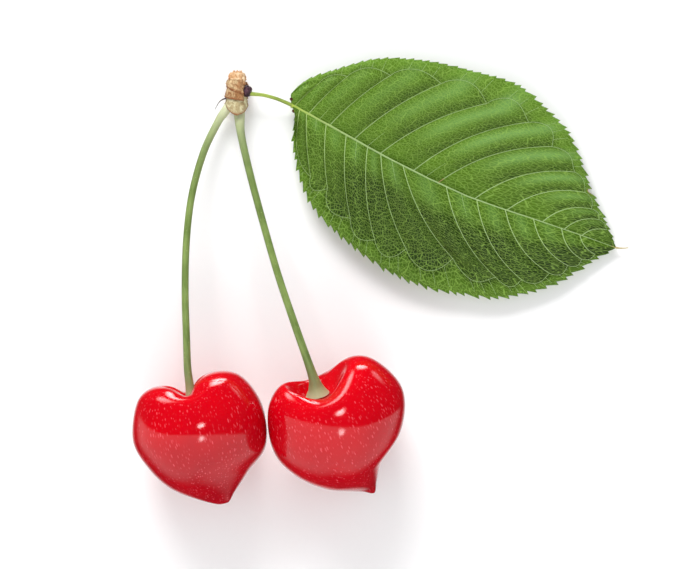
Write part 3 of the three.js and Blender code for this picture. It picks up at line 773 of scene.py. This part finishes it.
def make_scale(name, spec, seed):
    facing, reach, radius, flare, root, tip, notch, slant = spec
    blank = mesh_object(name, [(0, 0, 0), (1, 0, 0), (0, 1, 0)], [(0, 1, 2)])
    piece = grow(blank, SCALE_TREE, {
        "Facing": float(facing), "Reach": float(reach), "Radius": radius + SCALE_THICK / 2,
        "Root": root, "Tip": tip, "Notch": notch, "Slant": slant, "Flare": flare,
        "Crinkle": CRINKLE, "Seed": seed, "Material": ODD_SCALES.get(name, HUSK)},
        wall=SCALE_THICK)
    outward_faces(piece)
    move_points(piece, carry(coordinates(piece), SPUR_PLACE), TABLE_GAP)
    finished(piece, name)


for number, (scale_name, scale_spec) in enumerate(BUD_SCALES.items()):
    make_scale(scale_name, scale_spec, float(SEED + number))


def lathe(outline, sides, steps, shift):
    """Points and faces of a turned shape about +Y, each point moved outwards by shift."""
    ring = through(outline, np.linspace(0, 1, steps + 1))
    turn = np.linspace(0, 2 * np.pi, sides, endpoint=False)
    points, faces = [(0, ring[0, 1], 0)], []
    for radius, height in ring[1:-1]:
        for angle in turn:
            spot = np.array((radius * math.sin(angle), height, radius * math.cos(angle)))
            out = spot * (1, 0, 1) / max(radius, 1e-6)
            points.append(tuple(spot + shift(spot, out)))
    points.append((0, ring[-1, 1], 0))
    last = len(points) - 1
    for side in range(sides):
        after = (side + 1) % sides
        faces.append((0, 1 + side, 1 + after))
        for low in range(1, 1 + (steps - 2) * sides, sides):
            high = low + sides
            faces.append((low + side, high + side, high + after, low + after))
        faces.append((last, last - sides + after, last - sides + side))
    return np.array(points), faces


def turned_piece(name, material, points, faces, edge):
    piece = mesh_object(name, points, faces, {"edge": edge})
    piece.data.materials.append(material)
    piece.data.shade_smooth()
    outward_faces(piece)
    finished(piece, name)


def bark(spot, out):
    """Creases along the spur, and fibres where its free end is torn."""
    along = noise.fractal(Vector((spot[0] * 2.2, spot[1] * 0.8, spot[2] * 2.2)), 0.8, 2.2, 4)
    torn = max(0.0, (spot[1] - 6.2) / 0.9)
    fibre = noise.noise(Vector((spot[0] * 3.5, 4.0, spot[2] * 3.5)))
    return out * 0.07 * along + np.array((0, 1, 0)) * 0.75 * torn * fibre


def make_egg(name, centre, half, material, matrix, wrinkle, sides=48, steps=32):
    """A small egg with folded scales round it."""
    angle = np.linspace(0, np.pi, steps + 1)
    outline = np.stack([np.sin(angle), -np.cos(angle)], 1)

    def folds(spot, out):
        return out * wrinkle * noise.fractal(Vector(spot) * 1.6 + Vector((3, 5, 9)), 0.9, 2.1, 4)

    points, faces = lathe(outline, sides, steps, folds)
    turned_piece(name, material, carry(points * half + centre, matrix), faces,
                 np.full(len(points), 0.3))


wood_points, wood_faces = lathe(SPUR_WOOD, 96, 90, bark)
turned_piece("spur", WOOD, carry(wood_points, SPUR_PLACE), wood_faces,
             smooth(6.0, 7.2, wood_points[:, 1]) * 0.5)
make_egg("side_bud", SIDE_BUD_CENTRE, SIDE_BUD_HALF, BUD, SPUR_PLACE, 0.3)
for gland_name, (gland_centre, gland_radius) in GLANDS.items():
    make_egg(gland_name, gland_centre, (gland_radius,) * 3, GLAND, Matrix(), 0.05, 24, 16)


# ---------------------------------------------------------------- leaf

BLADE_THICK = 0.3
BEND_SHARE = 0.8  # how far out along a row the side veins bend over
ROW_GAP = 0.2  # between rows, along the margin
COLUMNS = 34
QUILT_SHARE = 0.12  # how high the blade puffs up between veins, per millimetre between them
LEAF_END = 68.4
TEAR_WIDTH = 0.5
MIDRIB_RADIUS, MIDRIB_TIP_RADIUS = 0.27, 0.06
VEIN_RADIUS = 0.066
TOOTH_PITCH, TOOTH_DEPTH = 1.65, 0.85
VEIN_RISE, UNDERSIDE_RISE = 0.13, -0.12


def rib_at(x):
    """How far the midrib lies to the side, along the leaf."""
    return np.interp(x, *zip(*MIDRIB))


class Half:
    """One half of the blade. Its rows run out from the midrib along the side veins, so a point
    is (row, share): row counts side veins, and share is 0 at the midrib and 1 at the margin."""

    def __init__(self, sign, veins, margin, first_bend):
        self.sign = sign
        self.margin = through(margin, np.linspace(0, 1, 1500))
        step = np.linalg.norm(np.diff(self.margin, axis=0), axis=1)
        self.margin_length = np.concatenate([[0], np.cumsum(step)])
        whole = self.margin_length[-1]
        starts, bends, ends = [0.0], [first_bend], [0.0]
        for start, x, y in veins:
            gaps = np.hypot(*(self.margin - (x, y)).T)
            nearest = int(gaps.argmin())
            forward = self.margin_length[nearest] + 0.55 * gaps[nearest]
            starts.append(start)
            bends.append((x, y))
            ends.append(min(max(forward, ends[-1] + 0.8), whole - 0.4))
        self.starts = np.array([*starts, LEAF_END - 0.1])
        self.bends = np.array([*bends, (LEAF_END - 0.05, 0.1)])
        self.ends = np.array([*ends, whole])
        self.count = len(starts)
        self.knots = np.arange(self.count + 1)

    def stations(self, row):
        """Where a row starts, passes half way, bends and ends."""
        start = np.interp(row, self.knots, self.starts)
        end = np.interp(row, self.knots, self.ends)
        bend = np.stack([np.interp(row, self.knots, self.bends[:, k]) for k in (0, 1)], -1)
        first = np.stack([start, rib_at(start)], -1)
        last = np.stack([np.interp(end, self.margin_length, self.margin[:, k]) for k in (0, 1)],
                        -1)
        chord = bend - first
        bulge = 0.02 + 0.11 * np.clip(start / 55, 0, 1)
        across = np.stack([-chord[..., 1], chord[..., 0]], -1) * self.sign
        half_way = (first + bend) / 2 + across * bulge[..., None]
        return first, half_way, bend, last

    def flat(self, row, share):
        """A point in the plane of the leaf."""
        first, half_way, bend, last = self.stations(row)
        inner = np.clip(share / BEND_SHARE, 0, 1)[..., None]
        outer = np.clip((share - BEND_SHARE) / (1 - BEND_SHARE), 0, 1)[..., None]
        control = 2 * half_way - (first + bend) / 2
        curve = first * (1 - inner) ** 2 + 2 * control * inner * (1 - inner) + bend * inner ** 2
        return np.where(share[..., None] <= BEND_SHARE, curve, bend + (last - bend) * outer)

    def out(self, point):
        """How far out a point is, from 0 at the midrib to 1 at the margin."""
        rib = rib_at(point[..., 0])
        wide = np.interp(point[..., 0], self.margin[:, 0], self.margin[:, 1]) - rib
        wide = np.where(np.abs(wide) < 0.5, 0.5 * self.sign, wide)
        return np.clip((point[..., 1] - rib) / wide, 0, 1)

    def part(self, row):
        """How far a row is from one side vein to the next."""
        return row - np.floor(np.minimum(row, self.count - 1e-6))

    def arch(self, part):
        """Share along a row at which the arch from one side vein to the next crosses it."""
        return BEND_SHARE + 0.1 * np.sin(np.pi * part ** 0.7)

    def height(self, point):
        """Height of the leaf over the table, before the blade is quilted by its veins."""
        out = self.out(point)
        place = np.interp(point[..., 0], RIB_STATIONS, np.linspace(0, 1, len(RIB_STATIONS)))
        if self.sign > 0:
            rise = np.sin(out * np.pi / 2) - 0.35 * out ** 3
        else:
            rise = 0.8 * (1 - np.exp(-out / 0.12)) - 0.3 * smooth(0.2, 0.75, out)
            rise = rise + 0.35 * smooth(0.72, 1.0, out)
        return through(RIB_HEIGHT, place)[..., 0] + through(SWELL, place)[..., 0] * rise

    def quilt(self, row, share, point):
        """How far the blade puffs up between its veins."""
        between = np.interp(row, self.knots[:-1] + 0.5,
                            np.hypot(*np.diff(self.bends, axis=0).T))
        part = self.part(row)
        pillow = 1 - np.abs(2 * part - 1) ** 2.0
        near_rib = 1 - np.exp(-np.abs(point[..., 1] - rib_at(point[..., 0])) / 1.6)
        arch = self.arch(part)
        inside = 1 - smooth(arch - 0.14, arch, share)
        outside = smooth(arch, arch + 0.07, share) * (1 - smooth(0.94, 1.0, share))
        height = pillow * inside + 0.35 * outside
        return QUILT_SHARE * np.clip(between, 1.5, 7.5) * near_rib * height

    def tones(self, row, point):
        """Painted light and shade: how light the green is, lighter where the blade faces the lamps
        and darker in the valleys and towards the tip, and how much painted sheen lies on the
        crests between veins.
        """
        x, out, part = point[..., 0], self.out(point), self.part(row)
        far = smooth(50, 68, x)
        if self.sign > 0:
            # painted sheen on the crests between veins
            crest = np.exp(-((part - 0.33) / 0.2) ** 2) * smooth(0.15, 0.5, out)
            # painted shade in the valley on the tip side of each side vein
            valley_shade = smooth(0.5, 0.95, part) * smooth(0.05, 0.3, out)
            return (0.8 - 0.35 * far - 0.42 * valley_shade * smooth(6, 20, x),
                    crest * (0.12 + 0.4 * smooth(10, 40, x)) * (1 - far))
        # the lower half: painted light by the midrib and at the flared margin, painted shade
        # across its middle, paler towards the base
        light = 0.62 - 0.55 * smooth(0.14, 0.34, out) + 0.22 * smooth(0.8, 0.95, out)
        light = light + 0.45 * smooth(22, 4, x) * (1 - light)
        # painted sheen on the crests near the midrib
        crest = np.exp(-((part - 0.5) / 0.25) ** 2) * smooth(0.3, 0.1, out)
        return light - 0.15 * far, 0.25 * crest * (1 - far)

    def point(self, row, share, proud=0.0):
        """A point of the blade's middle surface in the leaf's frame, raised by proud."""
        row, share = np.broadcast_arrays(np.asarray(row, float), np.asarray(share, float))
        flat = self.flat(row, share)
        z = self.height(flat) + self.quilt(row, share, flat) + proud
        return np.concatenate([flat, z[..., None]], -1)

    def rows(self):
        """Rows spread evenly along the margin, one of them exactly on each side vein."""
        rows = [np.array([0.0])]
        for i, length in enumerate(np.diff(self.ends)):
            count = max(3, int(round(length / ROW_GAP)))
            rows.append(i + np.arange(1, count + 1) / count)
        return np.concatenate(rows)


UPPER = Half(1, UPPER_VEINS, UPPER_MARGIN, (-0.95, 1.9))
LOWER = Half(-1, LOWER_VEINS, LOWER_MARGIN, (1.0, -0.5))


def blade_grid(half):
    """The upper and lower faces of one half, and what each point tells the tree and material."""
    shares = np.interp(np.arange(COLUMNS + 1) / COLUMNS, [0, 0.75, 1], [0, 0.86, 1])
    row, share = np.meshgrid(half.rows(), shares, indexing="ij")
    middle = half.point(row, share)
    up = np.zeros_like(middle)
    up[..., 2] = BLADE_THICK / 2 * (1 - 0.5 * smooth(0.85, 1.0, share)) * (1 - 0.5 * (row == 0))
    length = np.interp(row, half.knots, half.ends)
    outward = middle[:, -1] - middle[:, -3]
    outward /= np.linalg.norm(outward, axis=1)[:, None] + 1e-9
    edge = smooth(0.86, 1.0, share)
    torn = np.exp(-(np.hypot(*(middle[:, -1, :2] - TEAR).T) / TEAR_WIDTH) ** 2)[:, None] * edge
    middle -= outward[:, None] * torn[..., None]
    reach = np.linalg.norm(middle[:, -1] - middle[:, 0], axis=1)[:, None] * share
    arch = half.arch(row - np.floor(row))
    # painted light and shade, and a painted sheen on the crests
    light, bloom = half.tones(row, middle)
    fine = smooth(48, 28, middle[..., 0]) if half.sign > 0 else 0.0
    near_end = np.clip(np.minimum(length, half.ends[-1] - length) / 2.5, 0, 1)
    return middle + up, middle - up, dict(
        tooth=length * MM * (1.0 if half.sign > 0 else 0.85), edge=edge,
        outward=np.broadcast_to(outward[:, None], middle.shape),
        weave=np.stack([length * 0.85, reach * half.sign, 0 * reach], -1) * MM,
        # painted light: the band outside the arches is paler
        rim=smooth(arch, arch + 0.06, share) * (0.6 if half.sign > 0 else 0.35),
        light=light, bloom=bloom, bruise=torn, inner=near_end * (1 - 0.5 * fine))


def blade_mesh():
    """Both halves of the blade, each a closed shell, with their attributes."""
    points, faces, layers = [], [], {}
    for half in (UPPER, LOWER):
        top, low, values = blade_grid(half)
        rows, columns = top.shape[:2]
        sheets = []
        for under, sheet in enumerate((top, low)):
            first = sum(len(p) for p in points)
            points.append(sheet.reshape(-1, 3))
            index = first + np.arange(rows * columns).reshape(rows, columns)
            quads = np.stack([index[:-1, :-1], index[1:, :-1], index[1:, 1:], index[:-1, 1:]],
                             -1).reshape(-1, 4)
            faces.append(quads if (under == 0) == (half.sign > 0) else quads[:, ::-1])
            values["under"] = np.full((rows, columns), float(under))
            for key, value in values.items():
                layers.setdefault(key, []).append(value.reshape(rows * columns, -1))
            sheets.append(index)
        # the thin walls: the margin and the midrib, then the first row and the last
        for line, flip in ((np.s_[:, -1], 1), (np.s_[:, 0], -1), (np.s_[0], 1), (np.s_[-1], -1)):
            over, below = (sheet[line] for sheet in sheets)
            wall = np.stack([over[:-1], below[:-1], below[1:], over[1:]], -1)
            faces.append(wall[:, ::-1] if flip == half.sign else wall)
    merged = {k: np.concatenate(v) for k, v in layers.items()}
    merged = {k: v[:, 0] if v.shape[1] == 1 else v for k, v in merged.items()}
    return np.concatenate(points), np.concatenate(faces).tolist(), merged


def vein_lines():
    """Every vein as a line of points in the leaf's frame, with its radius, whether it is a side
    vein, and how reddish it is: the midrib, the tip, the side veins, the arches between them,
    a veinlet towards each tooth, and short veins between the side veins."""
    x = np.linspace(0.02, 68.0, 220)
    rib = np.stack([x, rib_at(x), np.zeros_like(x)], 1)
    rib[:, 2] = UPPER.height(rib[:, :2])
    lines = [(rib, MIDRIB_RADIUS * (1 - x / LEAF_END) ** 0.8 + MIDRIB_TIP_RADIUS, 0.0, 0.0),
             (through(DRIP_TIP, np.linspace(0, 1, 24)), np.linspace(0.15, 0.05, 24), 1.0, 0.7)]
    for half in (UPPER, LOWER):
        for i in range(1, half.count):
            room = half.ends[i] - half.ends[i - 1]
            size = VEIN_RADIUS * min(1.0, room / 5 + 0.45)
            share = np.linspace(0, BEND_SHARE, 60)
            joint = 0.8 * (share < 0.05) * (half is UPPER and i == NODE_VEIN)
            lines.append((half.point(i, share), size * (1.5 - 0.8 * share), 1.0, joint))
            if i < half.count - 1:
                part = np.linspace(0, 1, 30)
                arch = half.point(i + part, half.arch(part), 0.08)
                lines.append((arch, np.full(30, size * 0.5), 1.0, 0.0))
                for spot in (0.25, 0.5, 0.75):
                    share = np.linspace(half.arch(np.array(spot)), 0.97, 8)
                    lines.append((half.point(i + spot, share, 0.03), np.full(8, size * 0.34),
                                  1.0, 0.0))
            if i % 2 and i > 1 and room > 4:
                share = np.linspace(0, 0.2, 20)
                lines.append((half.point(i - 0.5, share), size * (0.7 - 2.4 * share), 1.0, 0.0))
    return lines


def leaf_tree():
    """Geometry nodes: cuts the teeth into the margin, lays the veins on both faces of the blade,
    and joins them."""
    tree, start, end = geometry_tree("leaf_blade", {
        "Veins": "Object", "Tooth pitch": "Float", "Tooth depth": "Float", "Vein sides": "Int",
        "Vein rise": "Float", "Underside rise": "Float", "Material": "Material"})
    along, inner, edge, radius = (add(tree, CARRIED, name, data_type="FLOAT")
                                  for name in ("tooth", "inner", "edge", "radius"))
    outward = add(tree, CARRIED, "outward", data_type="FLOAT_VECTOR")
    # teeth of uneven pitch and size, each a slow rise and a sharp fall
    far = add(tree, MATH, along, 1 / (6 * MM), operation="MULTIPLY")
    sway = add(tree, NOISE, {"W": far, "Scale": 1.0, "Detail": 1.0}, noise_dimensions="1D")
    sway = add(tree, MATH, sway, 1.6, operation="MULTIPLY")
    count = add(tree, MATH, along, start["Tooth pitch"], operation="DIVIDE")
    count = add(tree, MATH, count, sway, operation="ADD")
    part = add(tree, MATH, count, operation="FRACT")
    big = add(tree, MATH, count, operation="FLOOR")
    big = add(tree, MATH, big, 2.4, operation="MULTIPLY")
    big = add(tree, MATH, big, operation="SINE")
    big = add(tree, MATH, big, 0.25, 1.0, operation="MULTIPLY_ADD")
    saw = add(tree, MATH, part, 1.25, operation="POWER")
    saw = add(tree, MATH, saw, 0.4, operation="SUBTRACT")
    saw = add(tree, MATH, saw, edge, operation="MULTIPLY")
    depth = add(tree, MATH, start["Tooth depth"], big, operation="MULTIPLY")
    depth = add(tree, MATH, depth, inner, operation="MULTIPLY")
    reach = add(tree, MATH, saw, depth, operation="MULTIPLY")
    offset = add(tree, VECTOR_MATH, outward, reach, operation="SCALE")
    toothed = add(tree, MOVE, {"Geometry": start["Geometry"], "Offset": offset})
    lines = add(tree, "GeometryNodeObjectInfo", {"Object": start["Veins"]})
    route = add(tree, "GeometryNodeMeshToCurve", lines.outputs["Geometry"])
    ring = add(tree, "GeometryNodeCurvePrimitiveCircle", {"Resolution": start["Vein sides"],
                                                          "Radius": 1.0})
    parts = [toothed.outputs[0]]
    for rise, wider, face in (("Vein rise", 1.0, 0.0), ("Underside rise", 1.5, 0.25)):
        lift = add(tree, COMBINE, {2: start[rise]})
        laid = add(tree, MOVE, {"Geometry": route, "Offset": lift})
        width = add(tree, MATH, radius, wider, operation="MULTIPLY")
        tube = add(tree, "GeometryNodeCurveToMesh", {"Curve": laid, "Profile Curve": ring,
                                                     "Scale": width, "Fill Caps": True})
        for name, value in (("vein", 1.0), ("under", face)):
            tube = add(tree, STORE, {"Geometry": tube, "Name": name, "Value": value},
                       data_type="FLOAT")
        parts.append(tube.outputs[0])
    whole = add(tree, "GeometryNodeJoinGeometry")
    for geometry in reversed(parts):
        tree.links.new(geometry, whole.inputs[0])
    close_tree(tree, whole, start["Material"], end)
    return tree


def make_leaf():
    points, edges, radii, base, bruise = [], [], [], [], []
    for line, radius, out, bruised in vein_lines():
        edges.extend(chain(len(line), len(points)))
        points.extend(line)
        radii.extend(radius)
        base.extend(np.exp(-np.maximum(line[:, 0], 0) / 7) * (1 - 0.6 * out))
        bruise.extend(bruised + np.zeros(len(line)))
    veins = mesh_object("vein_lines", points, edges, {
        "radius": np.array(radii) * MM, "base": np.array(base), "bruise": np.array(bruise)})
    blade = mesh_object("leaf_blade", *blade_mesh())
    piece = grow(blade, leaf_tree(), {
        "Veins": veins, "Tooth pitch": TOOTH_PITCH * MM, "Tooth depth": TOOTH_DEPTH * MM,
        "Vein sides": 6, "Vein rise": VEIN_RISE * MM, "Underside rise": UNDERSIDE_RISE * MM,
        "Material": LEAF})
    bpy.data.objects.remove(veins)
    # the thin walls round each half stay flat, so the broad faces are shaded without them
    under = painted(piece.data, "under")
    for face in piece.data.polygons:
        face.use_smooth = bool(np.ptp(under[list(face.vertices)]) < 0.5)
    move_points(piece, carry(coordinates(piece), LEAF_PLACE), TABLE_GAP)
    finished(piece, "leaf_blade")


make_leaf()
